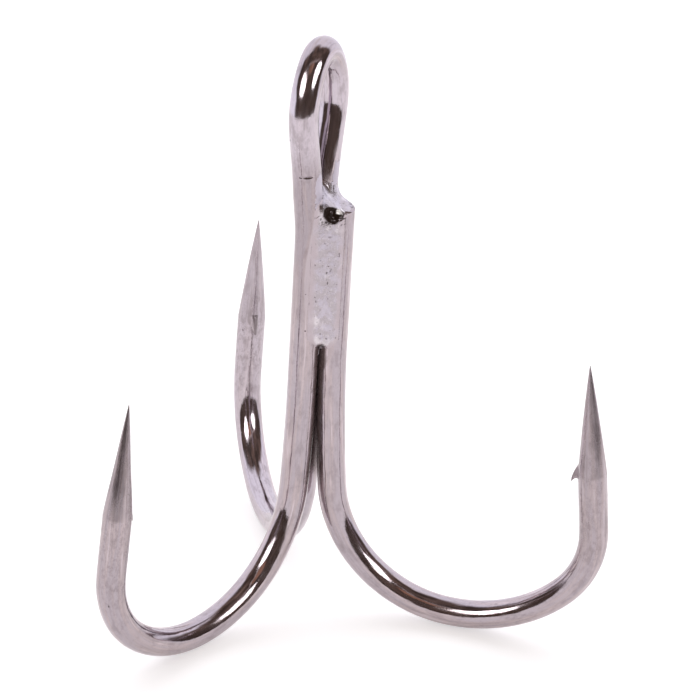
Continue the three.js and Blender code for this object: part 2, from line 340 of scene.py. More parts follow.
def ring_places(line, fine_spots):
    """Places along the wire for its rings, closer together near the tips and the fine spots."""
    places = [0.0]
    while places[-1] < line["along"][-1]:
        back = np.interp(places[-1], line["along"], line["back"])
        step = FINE_STEP if back < FINE_LENGTH else RING_STEP
        if BARB_PATH[0][0] < back < BARB_PATH[-1][0]:
            step = FINEST_STEP
        for spot, reach in fine_spots:
            if abs(places[-1] - spot) < reach:
                step = FINEST_STEP
        places.append(places[-1] + step)
    places[-1] = line["along"][-1]
    return np.array(places)


def ground_radius(back):
    """Radius of the needle point at a distance back from its tip."""
    t = np.clip(back / GRIND_LENGTH, 0, 1)
    return TIP_RADIUS + (VISIBLE_RADIUS - TIP_RADIUS) * t * (1 + GRIND_BULGE * (1 - t))


def barb_fold(back):
    """Where the rows near the barb go: distances back from the tip, and heights over the wire."""
    path = np.array(BARB_PATH)
    travelled = arc_lengths(path)
    first, last = path[0, 0], path[-1, 0]
    reached = np.clip((back - first) / (last - first), 0, 1) * travelled[-1]
    near = (back > first) & (back < last)
    moved = np.where(near, np.interp(reached, travelled, path[:, 0]), back)
    raised = np.where(near, np.interp(reached, travelled, path[:, 1]), 0.0)
    return moved, raised


def hollow_depth(points):
    """How deep points lie inside the ragged hollow in the cut end, below 0 outside it."""
    reach = (points - np.array(HOLLOW_CENTRE)) / np.array(HOLLOW_RADII)
    depth = (1 - np.linalg.norm(reach, axis=-1)) * min(HOLLOW_RADII)
    return depth + HOLLOW_RAGGED * lumps(points, 0.4, 71)


def painted_glint_share(points):
    """1 on the painted glint in the hollow, a near-white splinter standing in for a highlight, 0 away
    from it.
    """
    wide, thin = (np.array(end) for end in GLINT_ENDS)
    axis = thin - wide
    t = np.clip((points - wide) @ axis / (axis @ axis), 0, 1)
    aside = (points - wide - t[..., None] * axis) * np.array([1.0, GLINT_FLATNESS, 1.0])
    width = GLINT_WIDTHS[0] + (GLINT_WIDTHS[1] - GLINT_WIDTHS[0]) * t
    return 1 - smoothstep(np.linalg.norm(aside, axis=-1) / width, *GLINT_EDGE)


def barb_rows(back, angle, barb_scale):
    """Where the barb takes each vertex: its distance back, its height and its share of the barb."""
    moved, raised = barb_fold(back)
    aside = np.abs(ground_radius(moved) * np.sin(angle))
    share = (1 - smoothstep(aside, BARB_FLAT_WIDTH, BARB_EDGE_WIDTH)) * (np.cos(angle) > 0)
    return back + (moved - back) * share, raised * share * barb_scale, share


def nicked_radius(radius, angle, off_nick):
    """The radius with the dents of the tool mark pressed into it."""
    dent = np.exp(-((off_nick / NICK_HALF_LENGTH) ** 2))
    for middle, half_width, depth in NICK_DENTS:
        turned = (np.degrees(angle) - middle + 180) % 360 - 180
        radius = radius - depth * dent * np.exp(-((turned / half_width) ** 4))
    return radius


def sink_hollow(vertices, centres):
    """Vertices in the hollow, moved in towards the centre line, and how hollowed out each one is."""
    inwards = centres - vertices
    keep = np.ones(vertices.shape[:2], bool)
    sunk = np.zeros(vertices.shape[:2])
    for part in np.arange(0, 1.0, HOLLOW_STEP):
        keep &= hollow_depth(vertices + inwards * part) > 0
        sunk[keep] = part
    return vertices + inwards * sunk[..., None], smoothstep(sunk, 0.0, 2 * HOLLOW_STEP)


def wire_values(vertices, rows, kind):
    """Shares from 0 to 1 for the plating's material, by what each part of the wire looks like."""
    height = vertices[..., 2]
    rearward = vertices[..., 1]
    leg = band(height, DIM_LEG_RISE, DIM_LEG_FALL) * (rearward < DIM_LEG_SIDE)
    # Painted light: the top of the eye, and the rear side, are made paler.
    painted_light = band(height, PALE_EYE_RISE, PALE_EYE_FALL)
    painted_light = np.maximum(painted_light, PALE_REAR_SHARE * smoothstep(rearward, *PALE_REAR))
    cut = rows["share"] * band(rows["back"], BARB_CUT_RISE, BARB_CUT_FALL)
    heel = 1 - smoothstep(rows["moved"], *HEEL_END)
    # Painted shade: the heel, and on the double hook also the front shank and leg, are darkened.
    painted_shade = HEEL_PAINTED_SHADE[kind] * heel
    if kind == "double":
        painted_shade = np.maximum(painted_shade, leg)
    heel = heel * (1 - GROUND_SHARE * (1 - smoothstep(rows["moved"], *GROUND_END)))
    satin = np.maximum(LEG_SATIN * leg, heel)

    reach = np.interp(height, INNER_BROWN_HEIGHTS, INNER_BROWN_ANGLES[kind])
    reach = reach + INNER_BROWN_RAGGED[0] * lumps(vertices, 0.5, 91)
    reach = reach + INNER_BROWN_RAGGED[1] * lumps(flattened(vertices, 0.4), 0.13, 93)
    off_inside = np.abs(np.degrees(rows["angle"]) - 180)
    # Darker brown on the sides that face the common axis, below the braze.
    scale = 1 - smoothstep(off_inside - reach, -INNER_BROWN_SOFT, INNER_BROWN_SOFT)
    scale = scale * band(height, INNER_BROWN_END, INNER_BROWN_TOP) * (rows["moved"] > SHANK_BACK)

    facing = unit(vertices - rows["points"])[..., 0]
    film = smoothstep(facing, *FILM_FACING) * (1 - smoothstep(height, *FILM_FALL))
    film = film * (height > SINGLE_SHANK_TOP)
    return {"satin": satin, "painted_shade": painted_shade, "film": film, "painted_light": painted_light, "cut": cut, "scale": scale}


def wire_mesh(line, fine_spots=(), nicked=False, sheared=False, barb_scale=1.0):
    """Vertices of a wire along a centre line, and a dictionary of values for them."""
    places = ring_places(line, fine_spots)
    back = np.interp(places, line["along"], line["back"])[:, None]
    angle = section_angles()[None, :]
    moved, raised, share = barb_rows(back, angle, barb_scale)
    towards_tip = np.sign(np.gradient(back[:, 0]))[:, None]
    shifted = np.clip(places[:, None] + (moved - back) * towards_tip, 0, line["along"][-1])
    rows = {"angle": angle, "back": back, "moved": moved, "share": share}
    for name in ("points", "travel", "across"):
        rows[name] = interpolated(shifted, line["along"], line[name])
    travel = unit(rows["travel"])
    across = unit(rows["across"] - travel * np.sum(rows["across"] * travel, axis=-1, keepdims=True))
    side = np.cross(travel, across)

    radius = ground_radius(moved)
    power = 2 - RIDGE_SHARPNESS * smoothstep(GRIND_LENGTH - moved, 0.0, RIDGE_FADE)
    radius = radius / (np.abs(np.cos(angle)) ** power + np.abs(np.sin(angle)) ** power) ** (1 / power)
    straight = np.stack(np.broadcast_arrays(np.cos(angle), np.sin(angle), shifted), axis=-1)
    waves = lumps(flattened(straight, 0.45), WAVE_LENGTH, 11)
    radius = radius + smoothstep(moved, 0.0, GRIND_LENGTH) * WAVE_HEIGHT * waves
    if nicked:
        radius = nicked_radius(radius, angle, places[:, None] - fine_spots[0][0])
    vertices = (
        rows["points"]
        + (radius * np.cos(angle) + raised)[..., None] * across
        + (radius * np.sin(angle))[..., None] * side
    )
    hollow = np.zeros(radius.shape)
    glint = np.zeros(radius.shape)
    if sheared:
        near = places < SHEAR_REACH
        vertices[near], hollow[near] = sink_hollow(vertices[near], rows["points"][near])
        glint = painted_glint_share(vertices)
    values = wire_values(vertices, rows, "single" if sheared else "double")
    values["straight"] = straight * np.array([WIRE_RADIUS, WIRE_RADIUS, 1.0])
    values["back"] = moved
    # Flux residue with painted shade: the hollow in the cut end is darkened, all but the painted glint.
    values["residue_and_shade"] = hollow * (1 - glint)
    values["glint"] = glint
    return vertices, values


def grid_faces(rows, columns):
    """Quads of a tube of rows by columns vertices, and a fan over each end."""
    faces = []
    for row in range(rows - 1):
        low = row * columns
        for column in range(columns):
            right = (column + 1) % columns
            faces.append((low + column, low + right, low + columns + right, low + columns + column))
    first, last = rows * columns, rows * columns + 1
    top = (rows - 1) * columns
    for column in range(columns):
        right = (column + 1) % columns
        faces.append((first, right, column))
        faces.append((last, top + column, top + right))
    return faces


def make_object(name, vertices, faces, values):
    """A smooth-shaded object in the row frame from vertices in millimetres, with its values."""
    flat = np.asarray(vertices, float).reshape(-1, 3)
    placed = (flat * np.array([FIT_X, 1.0, 1.0]) + np.array([AXIS_X, 0.0, 0.0])) * MM
    mesh = bpy.data.meshes.new(name)
    mesh.from_pydata(placed.tolist(), [], faces)
    mesh.validate()
    mesh.shade_smooth()
    for key, rows in values.items():
        rows = np.asarray(rows, np.float32)
        kind = "FLOAT_VECTOR" if rows.ndim > 1 else "FLOAT"
        slot = "vector" if rows.ndim > 1 else "value"
        mesh.attributes.new(key, kind, "POINT").data.foreach_set(slot, rows.ravel())
    piece = bpy.data.objects.new(name, mesh)
    bpy.context.scene.collection.objects.link(piece)
    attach(piece, "root")
    return piece


def make_wire(name, line, **features):
    vertices, values = wire_mesh(line, **features)
    rows, columns = vertices.shape[:2]
    faces = grid_faces(rows, columns)
    ends = [vertices[0].mean(axis=0), vertices[-1].mean(axis=0)]
    vertices = np.concatenate([vertices.reshape(-1, 3), ends])
    for key, value in values.items():
        flat = value.reshape(rows * columns, -1)
        flat = np.concatenate([flat, flat[:1], flat[-1:]])
        values[key] = flat if flat.shape[1] > 1 else flat[:, 0]
    return make_object(name, vertices, faces, values)


# ------------------------------------------------------------------ braze

BRAZE_BOTTOM = 15.4
BRAZE_FULL = 16.8  # the fill has its full depth from here up
BRAZE_TOP = 24.05
BRAZE_BLEND = 1.3  # reach of the rounding between two wires
BRAZE_SAG = 0.2
SEAM_HALF_ANGLE = 36.0
SEAM_BACK = 0.52
SEAM_LIMIT = 1.9
SEAM_COLUMNS = 28
SEAM_STEP = 0.055
SEAM_HANDOVER = (23.75, BRAZE_TOP)  # heights over which the cap takes over what shows
THROAT_FILL = (25.0, 26.0)  # the alloy between the legs of the eye thins out over these heights
RIPPLE = 0.08
FINE_RIPPLE = 0.015
PIT_DEPTH = 0.25
CAP_CENTRE = (0.45, -0.05, 24.35)
CAP_REACH = 1.75
CAP_COLUMNS = 132
CAP_ROWS = 96
CAP_HANDOVER = (23.75, 24.0)
CUT_END_COVER = 0.02
CORE_REACH = 0.26
CORE_THIN = 0.15  # its radius between its three ridges
CORE_SIDES = 36
# Heights of the core with its width there, as a share of its full width.
CORE_PROFILE = (
    (16.3, 0.3),
    (16.33, 0.62),
    (16.4, 0.85),
    (16.55, 1.0),
    (17.2, 1.0),
    (20.0, 1.0),
    (23.6, 1.0),
)
SUNK = 0.012  # the alloy's thin edges end this far under the plating
OVERLAP = 0.006  # seam and cap each sink this much more where the other one shows
FIRST_HIT = 0.02  # rays look for the alloy's surface from this far on
HIT_STEPS = 90
HIT_HALVINGS = 12
DEEP_ALLOY = 0.3
BRIGHT_TAIL = (16.3, 17.6)
STAIN_AND_SHADE_EDGE = (-0.05, -0.015)  # depths in the hollow, below 0 outside it
SPLASH_EDGE = (-0.6, -0.05)
SPLASH_LUMPS = (0.22, 0.36)

# The shanks and eye legs stand upright between these heights. No shank is as far from the
# common axis as this, and no point of the double hook is nearer.
LEG_HEIGHTS = (13.0, 27.5)
LEG_REACH = 2.2
LEG_STEEPNESS = 0.8
SINGLE_LEG_LENGTH = 12.5


def gap_to(line, low, high, points):
    """Distance from points to the surface of the near-vertical part of a wire between two heights."""
    part = (line["along"] >= low) & (line["along"] <= high)
    heights = line["points"][part, 2]
    order = np.argsort(heights)
    heights = heights[order]
    centre = interpolated(points[..., 2], heights, line["points"][part][order])
    travel = unit(interpolated(points[..., 2], heights, line["travel"][part][order]))
    offset = points - centre
    offset = offset - travel * np.sum(offset * travel, axis=-1, keepdims=True)
    return np.linalg.norm(offset, axis=-1) - VISIBLE_RADIUS


def blend_two(first, second, reach):
    """How far the rounding between two surfaces stands off the nearer one."""
    overlap = np.clip(reach - np.abs(first - second), 0, None)
    return overlap * overlap / (4 * np.maximum(reach, 1e-6))


def outward_hits(origin, rays, surface, low, high):
    """First distances along rays at which surface(points) turns from below 0 to above it."""
    steps = np.linspace(low, high, HIT_STEPS)
    found = np.full(rays.shape[:-1], high)
    below = np.full(rays.shape[:-1], low)
    done = np.zeros(rays.shape[:-1], bool)
    for step in steps:
        outside = surface(origin + rays * step) > 0
        found = np.where(outside & ~done, step, found)
        below = np.where(~outside & ~done, step, below)
        done |= outside
    for _ in range(HIT_HALVINGS):
        middle = (found + below) / 2
        outside = surface(origin + rays * middle[..., None]) > 0
        found = np.where(outside & done, middle, found)
        below = np.where(outside, below, middle)
    return found


def leg_ranges():
    """The three shanks and eye legs: centre lines with the range along each that stands upright."""
    low, high = LEG_HEIGHTS
    points = double_line["points"]
    along = double_line["along"]
    upright = (points[:, 2] > low) & (points[:, 2] < high) & (points[:, 0] > -LEG_REACH)
    upright &= np.abs(double_line["travel"][:, 2]) > LEG_STEEPNESS
    first_half = along < along[-1] / 2
    ranges = {}
    for name, half in (("front", first_half), ("rear", ~first_half)):
        inner = along[half & upright]
        ranges[name] = (double_line, inner.min(), inner.max())
    single = single_line["along"][single_line["points"][:, 2] > low]
    ranges["single"] = (single_line, 0.0, single[single < SINGLE_LEG_LENGTH].max())
    return ranges


def alloy(points):
    """The alloy that wets all three wires: height over its surface, and its depth over the wires."""
    front, rear, wall = (gap_to(*UPRIGHT[name], points) for name in ("front", "rear", "single"))
    height = points[..., 2]
    end = height - SINGLE_SHANK_TOP - CUT_END_COVER
    single = np.where((end > 0) & (wall > 0), np.hypot(end, wall), np.maximum(end, wall))
    sag = BRAZE_SAG * lattice_noise(points / 0.5, 26)
    reach = BRAZE_BLEND * smoothstep(height + sag, BRAZE_BOTTOM + 0.1, BRAZE_FULL)
    ripple = 1 + RIPPLE * lumps(flattened(points, 0.6), 0.6, 21)
    ripple = ripple + FINE_RIPPLE * lumps(points, 0.2, 23)
    ripple = ripple - PIT_DEPTH * np.clip(lumps(points, 0.35, 30) - 0.55, 0, None)
    pair = blend_two(front, rear, reach * (1 - smoothstep(height, *THROAT_FILL))) * ripple
    legs_surface = np.minimum(front, rear) - pair
    joined = blend_two(legs_surface, single, reach) * ripple
    surface = np.minimum(legs_surface, single) - joined
    depth = np.minimum(np.minimum(front, rear), single) - surface
    return np.maximum(surface + SUNK, hollow_depth(points)), depth


def alloy_values(vertices):
    """Values for the alloy's material: place, how deep the alloy is, stains round the hollow with
    painted shade inside it, and the painted glint.
    """
    depth = alloy(vertices)[1]
    inside = hollow_depth(vertices)
    splashed = smoothstep(inside, *SPLASH_EDGE) * smoothstep(lumps(vertices, 0.16, 75), *SPLASH_LUMPS)
    splashed = splashed * (vertices[..., 2] < SINGLE_SHANK_TOP)
    tail = 1 - smoothstep(vertices[..., 2], *BRIGHT_TAIL)
    glint = painted_glint_share(vertices)
    # Stains round the hollow, and painted shade that darkens the hollow itself.
    stain_and_shade = np.maximum(smoothstep(inside, *STAIN_AND_SHADE_EDGE), splashed) * (1 - glint)
    values = {"straight": vertices, "depth": smoothstep(depth, 0.0, DEEP_ALLOY), "residue_and_shade": stain_and_shade}
    return values | {"tail": tail, "glint": glint}


def make_seam(name, azimuth):
    """Alloy in the groove between two shanks: lumpy, nearly flush, and thinning out downwards."""
    rows = int((BRAZE_TOP - BRAZE_BOTTOM) / SEAM_STEP)
    heights = np.linspace(BRAZE_BOTTOM, BRAZE_TOP, rows)
    turns = np.radians(azimuth + np.linspace(-SEAM_HALF_ANGLE, SEAM_HALF_ANGLE, SEAM_COLUMNS))
    rays = np.broadcast_to(
        np.stack([np.cos(turns), np.sin(turns), 0 * turns], axis=-1),
        (rows, SEAM_COLUMNS, 3),
    )
    origin = np.zeros((rows, SEAM_COLUMNS, 3))
    origin[..., 2] = heights[:, None]

    def surface(points):
        return alloy(points)[0] + OVERLAP * smoothstep(points[..., 2], *SEAM_HANDOVER)

    reach = outward_hits(origin, rays, surface, SEAM_BACK + FIRST_HIT, SEAM_LIMIT)
    outer = origin + rays * reach[..., None]
    inner = origin + rays * SEAM_BACK
    count = rows * SEAM_COLUMNS
    vertices = np.concatenate([outer.reshape(-1, 3), inner.reshape(-1, 3)])
    faces = []
    for row in range(rows - 1):
        for column in range(SEAM_COLUMNS - 1):
            a = row * SEAM_COLUMNS + column
            b, c, d = a + 1, a + 1 + SEAM_COLUMNS, a + SEAM_COLUMNS
            faces.append((a, b, c, d))
            faces.append((count + a, count + d, count + c, count + b))
        low, high = row * SEAM_COLUMNS, (row + 1) * SEAM_COLUMNS
        faces.append((low, high, count + high, count + low))
        low, high = low + SEAM_COLUMNS - 1, high + SEAM_COLUMNS - 1
        faces.append((low, count + low, count + high, high))
    top = (rows - 1) * SEAM_COLUMNS
    for column in range(SEAM_COLUMNS - 1):
        faces.append((column, count + column, count + column + 1, column + 1))
        a = top + column
        faces.append((a, a + 1, count + a + 1, count + a))
    return make_object(name, vertices, faces, alloy_values(vertices))


def make_cap():
    """The alloy over the cut end and in the throat of the eye, and the core between the shanks."""
    centre = np.array(CAP_CENTRE)
    tilt = np.linspace(0, np.pi, CAP_ROWS + 2)[1:-1]
    turns = np.arange(CAP_COLUMNS) * 2 * np.pi / CAP_COLUMNS
    rays = np.stack(
        [
            np.sin(tilt)[:, None] * np.cos(turns),
            np.sin(tilt)[:, None] * np.sin(turns),
            np.broadcast_to(np.cos(tilt)[:, None], (CAP_ROWS, CAP_COLUMNS)),
        ],
        axis=-1,
    )

    def surface(points):
        return alloy(points)[0] + OVERLAP * (1 - smoothstep(points[..., 2], *CAP_HANDOVER))

    reach = outward_hits(centre, rays, surface, FIRST_HIT, CAP_REACH)
    vertices = centre + rays * reach[..., None]
    flat = vertices.reshape(-1, 3)
    top = centre + np.array([0, 0, reach[0].mean()])
    bottom = centre - np.array([0, 0, reach[-1].mean()])
    faces = [tuple(reversed(face)) for face in grid_faces(CAP_ROWS, CAP_COLUMNS)]

    core_turns = np.arange(CORE_SIDES) * 2 * np.pi / CORE_SIDES
    cusp = np.abs(np.cos(1.5 * (core_turns - np.pi / 3))) ** 3
    core_radius = CORE_THIN + (CORE_REACH - CORE_THIN) * cusp
    core_heights, core_scale = np.array(CORE_PROFILE).T
    core = np.stack(
        [
            core_scale[:, None] * core_radius * np.cos(core_turns),
            core_scale[:, None] * core_radius * np.sin(core_turns),
            np.broadcast_to(core_heights[:, None], (len(core_heights), CORE_SIDES)),
        ],
        axis=-1,
    )
    core_ends = np.array([[0, 0, core_heights[0]], [0, 0, core_heights[-1]]])
    offset = len(flat) + 2
    faces += [tuple(offset + i for i in face) for face in grid_faces(len(core_heights), CORE_SIDES)]
    every = np.concatenate([flat, [top, bottom], core.reshape(-1, 3), core_ends])
    return make_object("braze_cap", every, faces, alloy_values(every))


# ------------------------------------------------------------------ pieces

double_line = double_hook_line()
single_line = single_hook_line()
UPRIGHT = leg_ranges()

first_half = double_line["along"] < double_line["along"][-1] / 2
leg_rising = first_half & (double_line["points"][:, 2] > NICK_LEG_BOTTOM)
leg_heights = double_line["points"][leg_rising, 2]
nick_place = np.interp(NICK_HEIGHT, leg_heights, double_line["along"][leg_rising])
double_wire = make_wire(
    "double_hook",
    double_line,
    fine_spots=((nick_place, NICK_FINE_REACH),),
    nicked=True,
    barb_scale=DOUBLE_BARB_SCALE,
)
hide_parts("double_hook_wire")

single_wire = make_wire("single_hook", single_line, fine_spots=((0.0, SHEAR_REACH),), sheared=True)
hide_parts("single_hook_wire")

seam_front = make_seam("seam_front", -60.0)
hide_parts("braze_seam_front")
seam_rear = make_seam("seam_rear", 60.0)
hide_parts("braze_seam_rear")
seam_left = make_seam("seam_left", 180.0)
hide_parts("braze_seam_left")
braze_cap = make_cap()
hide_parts("braze_cap_and_core")

# ------------------------------------------------------------------ shader nodes


class Nodes:
    """Adds shader nodes to a cleared tree and links their inputs by name or number."""

    def __init__(self, tree):
        self.tree = tree
        tree.nodes.clear()

    def add(self, kind, settings=None, inputs=None):
        node = self.tree.nodes.new("ShaderNode" + kind)
        for name, value in (settings or {}).items():
            setattr(node, name, value)
        for key, value in (inputs or {}).items():
            self.feed(node, key, value)
        return node

    def feed(self, node, key, value):
        socket = node.inputs[key]
        if isinstance(value, bpy.types.Node):
            value = value.outputs[0]
        if isinstance(value, bpy.types.NodeSocket):
            self.tree.links.new(value, socket)
        else:
            socket.default_value = value

    def math(self, operation, *values):
        return self.add("Math", {"operation": operation}, dict(enumerate(values)))

    def times(self, first, second):
        return self.math("MULTIPLY", first, second)

    def plus(self, first, second):
        return self.math("ADD", first, second)

    def ramp(self, value, low, high, start=0.0, end=1.0):
        """Value mapped smoothly from low..high to start..end."""
        ends = {"Value": value, "From Min": low, "From Max": high, "To Min": start, "To Max": end}
        return self.add("MapRange", {"interpolation_type": "SMOOTHSTEP"}, ends)

    def mix(self, share, first, second):
        node = self.add("Mix", {"data_type": "RGBA"}, {0: share, 6: first, 7: second})
        return node.outputs[2]


# ------------------------------------------------------------------ studio

FRONT_ANGLE = -76.0  # the open, dark front of the light tent, in degrees round from +X
# The dark opening and what shows in it, in degrees round from the front or up from level.
OPENING_MIDDLE = 8.0
OPENING_EDGE = (97.0, 112.0)
NARROWING = 24.0
NARROW_BELOW = (-4.0, 8.0)
ROOF_EDGE = (61.0, 79.0)
PANEL_WIDTH = 22.0
PANEL_RISE = 44.0
PANEL_HEIGHT = 9.0
RAIL_RISE = 54.0
RAIL_SAG = (45.0, -8.8)  # this far round from the front, the rail is this much lower
RAIL_EDGE = (0.8, 2.2)
RAIL_END = (40.0, 55.0)
CLUTTER_OFTEN = 2.2
TENT_WHITE = (1.3, 1.3, 1.4, 1.0)
ROOM_DARK = (0.085, 0.062, 0.052, 1.0)
ROOM_DIM = (0.24, 0.17, 0.14, 1.0)
ROOM_BROWN = (0.48, 0.27, 0.19, 1.0)
RAIL_LIGHT = (0.8, 0.7, 0.68, 1.0)
LAMP_RADIANCE = 5.0
# Degrees round from the front, degrees up, distance, width and height.
LAMPS = {"left": (-44.0, 34.0, 0.1, 0.06, 0.043), "right": (48.5, 34.5, 0.1, 0.058, 0.043)}
LAMP_TARGET = Vector((0.0, 0.0, 0.004))
SKY_STRENGTH = 0.9
SKY_SPREAD = 120.0
NEAR_FLOOR_RADIUS = 0.085
FAR_FLOOR_RADIUS = 6.0
FLOOR_SIDES = 160
FLOOR_COLOUR = (0.8, 0.79, 0.785, 1.0)
FLOOR_ROUGHNESS = 0.9
FLOOR_GLOW = 0.5
FLOOR_DROP = 0.00002
WHITE = (1.0, 1.0, 1.0, 1.0)


def add_tent():
    """A white tent with a dark front and roof opening, seen only in reflections."""
    world = bpy.data.worlds.new("tent")
    world.use_nodes = True
    bpy.context.scene.world = world
    n = Nodes(world.node_tree)
    direction = n.add("TexCoord").outputs["Generated"]
    turned = n.add(
        "VectorRotate",
        {"rotation_type": "Z_AXIS"},
        {"Vector": direction, "Angle": -math.radians(FRONT_ANGLE)},
    )
    axes = n.add("SeparateXYZ", None, {0: turned})
    turn = n.math("ARCTAN2", axes.outputs[1], axes.outputs[0])
    rise = n.math("ARCSINE", axes.outputs[2])
    turn_degrees = n.times(turn, math.degrees(1))
    rise_degrees = n.times(rise, math.degrees(1))

    off_front = n.math("ABSOLUTE", n.math("SUBTRACT", turn_degrees, OPENING_MIDDLE))
    narrowed = n.plus(off_front, n.ramp(rise_degrees, *NARROW_BELOW, NARROWING, 0.0))
    front = n.ramp(narrowed, *OPENING_EDGE, 1.0, 0.0)
    opening = n.math("MAXIMUM", front, n.ramp(rise_degrees, *ROOF_EDGE))

    clutter = n.add("TexNoise", None, {"Vector": turned, "Scale": CLUTTER_OFTEN, "Detail": 2.0})
    higher_up = n.ramp(rise_degrees, 0.0, 70.0, 0.25, 1.0)
    room = n.mix(n.times(n.ramp(clutter, 0.42, 0.62), higher_up), ROOM_DARK, ROOM_DIM)

    sideways = n.math("POWER", n.math("DIVIDE", turn_degrees, PANEL_WIDTH), 2.0)
    off_panel = n.math("SUBTRACT", rise_degrees, PANEL_RISE)
    upwards = n.math("POWER", n.math("DIVIDE", off_panel, PANEL_HEIGHT), 2.0)
    panel = n.ramp(n.plus(sideways, upwards), 0.5, 1.2, 1.0, 0.0)
    room = n.mix(panel, room, ROOM_BROWN)

    sag = n.times(n.math("POWER", n.math("DIVIDE", turn_degrees, RAIL_SAG[0]), 2.0), RAIL_SAG[1])
    off_rail = n.math("ABSOLUTE", n.math("SUBTRACT", rise_degrees, n.plus(sag, RAIL_RISE)))
    rail_end = n.ramp(off_front, *RAIL_END, 1.0, 0.0)
    rail = n.times(n.ramp(off_rail, *RAIL_EDGE, 1.0, 0.0), rail_end)
    room = n.mix(rail, room, RAIL_LIGHT)

    tent = n.mix(opening, TENT_WHITE, room)
    seen = n.add("LightPath").outputs["Is Camera Ray"]
    colour = n.mix(seen, tent, WHITE)
    background = n.add("Background", None, {"Color": colour, "Strength": 1.0})
    n.add("OutputWorld", None, {"Surface": background})


def add_light(name, kind, place, target, energy):
    data = bpy.data.lights.new(name, kind)
    data.energy = energy
    light = bpy.data.objects.new(name, data)
    light.location = place
    light.rotation_mode = "QUATERNION"
    light.rotation_quaternion = (target - place).to_track_quat("-Z", "Y")
    light.visible_camera = False
    bpy.context.scene.collection.objects.link(light)
    return light


def add_lamps():
    """Two oval lamps in the open front, and soft light from above that shows in no reflection."""
    for name, (turn, rise, distance, width, height) in LAMPS.items():
        angle = math.radians(FRONT_ANGLE + turn)
        level = math.cos(math.radians(rise))
        way = Vector((math.cos(angle) * level, math.sin(angle) * level, math.sin(math.radians(rise))))
        area = math.pi * width * height / 4
        place = LAMP_TARGET + way * distance
        lamp = add_light(f"lamp_{name}", "AREA", place, LAMP_TARGET, LAMP_RADIANCE * math.pi * area)
        lamp.data.shape = "ELLIPSE"
        lamp.data.size = width
        lamp.data.size_y = height
        lamp.visible_diffuse = False
    above = Vector((0.0, 0.0, 1.0))
    sky = add_light("sky", "SUN", above, LAMP_TARGET, SKY_STRENGTH)
    sky.data.angle = math.radians(SKY_SPREAD)
    sky.visible_glossy = False


def add_floor():
    """A plain pale floor. Only the part near the hook shows in its reflections."""
    rings = []
    for radius in (NEAR_FLOOR_RADIUS, FAR_FLOOR_RADIUS):
        turns = [2 * math.pi * i / FLOOR_SIDES for i in range(FLOOR_SIDES)]
        rings.append([(radius * math.cos(a), radius * math.sin(a), -FLOOR_DROP) for a in turns])
    near_faces = [tuple(range(FLOOR_SIDES))]
    far_faces = []
    for i in range(FLOOR_SIDES):
        right = (i + 1) % FLOOR_SIDES
        far_faces.append((i, FLOOR_SIDES + i, FLOOR_SIDES + right, right))
    for name, vertices, faces in (
        ("floor_near", rings[0], near_faces),
        ("floor_far", rings[0] + rings[1], far_faces),
    ):
        material = bpy.data.materials.new(name)
        material.use_nodes = True
        n = Nodes(material.node_tree)
        look = {"Base Color": FLOOR_COLOUR, "Roughness": FLOOR_ROUGHNESS}
        look |= {"Emission Color": WHITE, "Emission Strength": FLOOR_GLOW}
        n.add("OutputMaterial", None, {"Surface": n.add("BsdfPrincipled", None, look)})
        mesh = bpy.data.meshes.new(name)
        mesh.from_pydata(vertices, [], faces)
        mesh.materials.append(material)
        floor = bpy.data.objects.new(name, mesh)
        bpy.context.scene.collection.objects.link(floor)
        floor.visible_glossy = name == "floor_near"


bpy.context.scene.view_settings.view_transform = "Standard"
add_tent()
add_lamps()
add_floor()

# ------------------------------------------------------------------ materials

PLATING_COOL = (0.44, 0.385, 0.42, 1.0)
PLATING_WARM = (0.47, 0.39, 0.395, 1.0)
PLATING_DARK = (0.27, 0.225, 0.235, 1.0)
PAINTED_LIGHT_LILAC = (0.58, 0.52, 0.575, 1.0)
PLATING_BRIGHT = (0.6, 0.53, 0.57, 1.0)
# Painted reflection: the dark streak on each ground point.
PAINTED_DARK_STREAK = (0.12, 0.095, 0.1, 1.0)
GROUND_DARK = (0.3, 0.26, 0.265, 1.0)
# Dark brown of flux stains, specks and pores; it also paints shade into the hollow at the cut end.
STAIN_AND_SHADE = (0.024, 0.014, 0.01, 1.0)
INNER_BROWN = (0.128, 0.086, 0.083, 1.0)
STAIN_SHEEN = (0.34, 0.22, 0.17, 1.0)
# Painted highlight: near-white colour for the glint in the hollow.
PAINTED_GLINT_WHITE = (0.95, 0.92, 0.9, 1.0)
BRAZE_THIN = (0.455, 0.39, 0.415, 1.0)
BRAZE_GREY = (0.43, 0.385, 0.41, 1.0)
BRAZE_LILAC = (0.53, 0.485, 0.55, 1.0)
BRAZE_BRIGHT = (0.72, 0.67, 0.7, 1.0)

# Noises: how often each one changes in a millimetre along its three axes, the last of them
# along the wire or upwards, and then its detail and roughness.
PLATING_NOISES = {
    "streaks": ((2.6, 2.6, 0.16), 3.0, 0.6),
    "lines": ((11.0, 11.0, 0.35), 2.0, 0.5),
    "blotches": ((1.1, 1.1, 0.55), 3.0, 0.6),
    "grain": ((13.0, 13.0, 9.0), 3.0, 0.7),
    "clouds": ((2.0, 2.0, 0.9), 4.0, 0.65),
    "stipple": ((6.0, 6.0, 3.5), 3.0, 0.7),
    "film_edge": ((4.5, 4.5, 3.0), 2.0, 0.5),
    "waves": ((3.0, 3.0, 0.8), 1.0, 0.5),
}
BRAZE_NOISES = {
    "lumpy": ((2.4, 2.4, 2.4), 4.0, 0.65),
    "flecks": ((9.0, 9.0, 5.0), 3.0, 0.7),
    "pores": ((5.5, 5.5, 4.5), 1.0, 0.5),
    "broad": ((1.3, 1.3, 0.8), 2.0, 0.5),
    "worn": ((1.9, 1.9, 1.1), 2.0, 0.5),
}
SPECK_OFTEN = (1.7, 1.7, 1.3)
